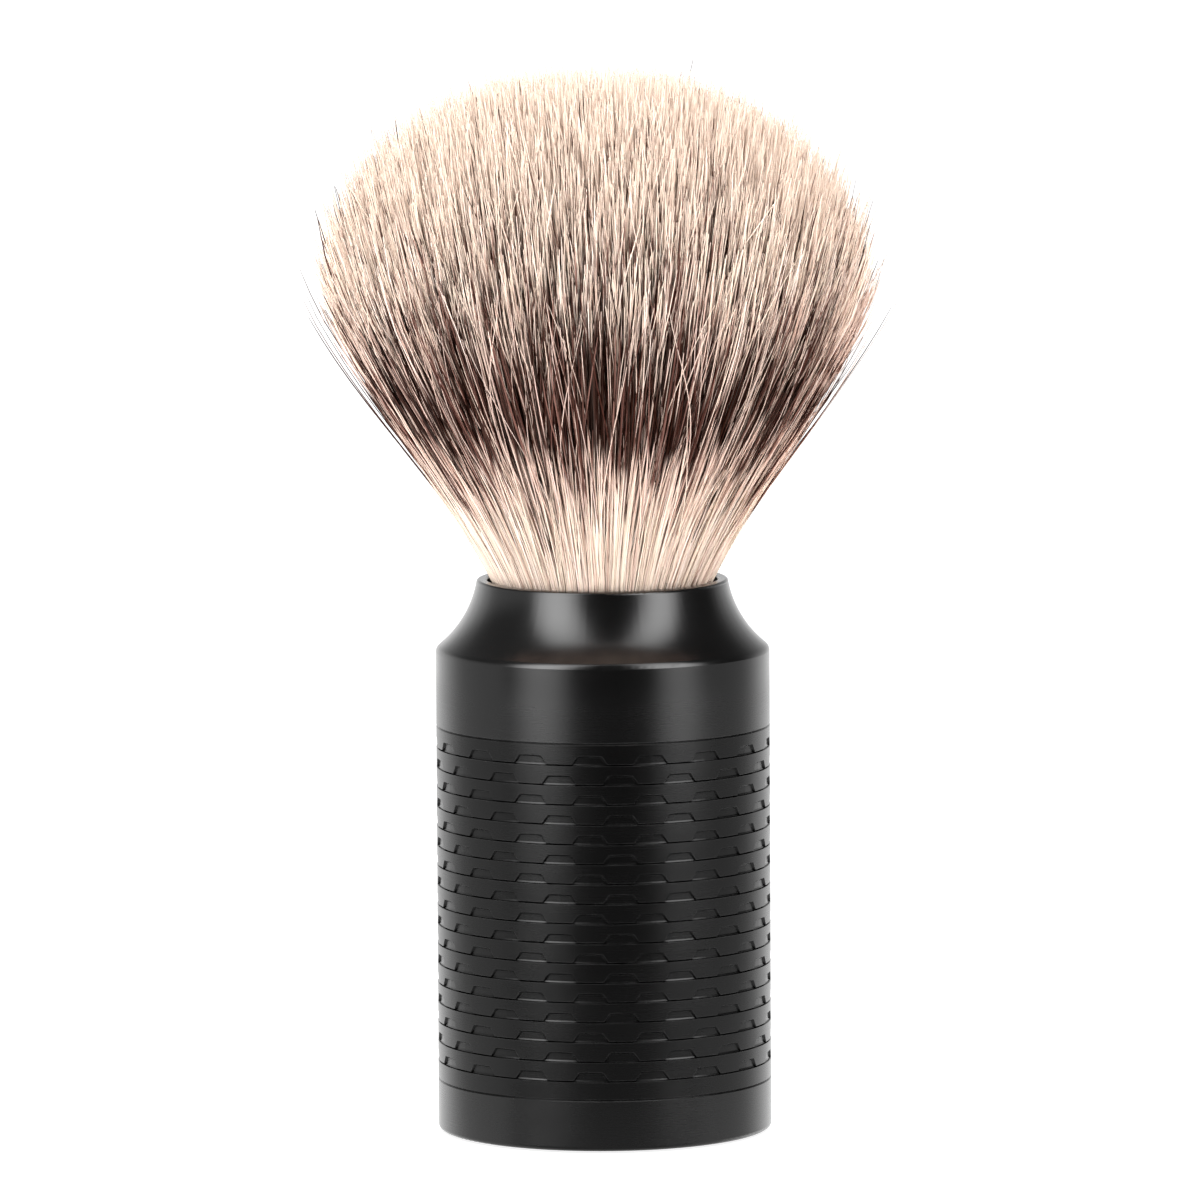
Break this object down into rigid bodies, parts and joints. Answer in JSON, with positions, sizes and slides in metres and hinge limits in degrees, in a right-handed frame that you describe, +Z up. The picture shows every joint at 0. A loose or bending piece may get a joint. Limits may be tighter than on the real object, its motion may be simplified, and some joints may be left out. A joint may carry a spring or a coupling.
{
  "type": "shaving brush",
  "caption": "Shaving brush with a flared fibre knot that screws into a satin black turned metal handle with a grooved and pocketed grip.",
  "frame": {"origin": "centre of the underside of the base pad, on the surface that the brush stands on", "axes": "+Z up the brush's own axis towards the fibre tips; the front faces -Y; the brush is round, so X is any side"},
  "size_m": [0.053, 0.053, 0.1071],
  "materials": {
    "satin_black_collar": "satin black coating over turned metal",
    "satin_black_sleeve": "satin black coating over turned and milled metal",
    "satin_black_cap": "satin black coating over turned metal",
    "core_aluminium": "bare, turned",
    "bolt_steel": "stainless",
    "nut_brass": "turned",
    "seal_rubber": "matte black",
    "pad_rubber": "fine matte grain",
    "cup_plastic": "moulded ivory",
    "resin": "cast, slightly clear",
    "waxed_cord": "waxed thread",
    "fibres": "fine fibres, cream with a dark brown band"
  },
  "bodies": {
    "handle": {"base_pad": "pad_rubber", "base_cap": "satin_black_cap", "base_seal": "seal_rubber", "tie_bolt": "bolt_steel", "spring_washer": "bolt_steel", "base_dowel": "bolt_steel", "handle_core": "core_aluminium", "collar_dowel": "bolt_steel", "grip_sleeve": "satin_black_sleeve", "collar_seal": "seal_rubber", "neck_collar": "satin_black_collar", "coupling_nut": "nut_brass"},
    "head_ring": {"head_seal": "seal_rubber"},
    "brush_head": {"head_stud": "nut_brass", "head_cup": "cup_plastic", "glue_plug": "resin", "knot_binding": "waxed_cord", "bristle_knot": "fibres"}
  },
  "joints": [
    {"name": "head_rise", "type": "slide", "parent": "handle", "child": "head_ring", "axis": [0, 0, 1], "range_m": [0, 0.0076]},
    {"name": "head_unscrew", "type": "hinge", "parent": "head_ring", "child": "brush_head", "pos_m": [0, 0, 0.0474], "axis": [0, 0, 1], "range_deg": [0, 2160]}
  ],
  "couplings": [
    {"joint": "head_rise", "follows": "head_unscrew", "m_per_rad": 0.00019894}
  ]
}
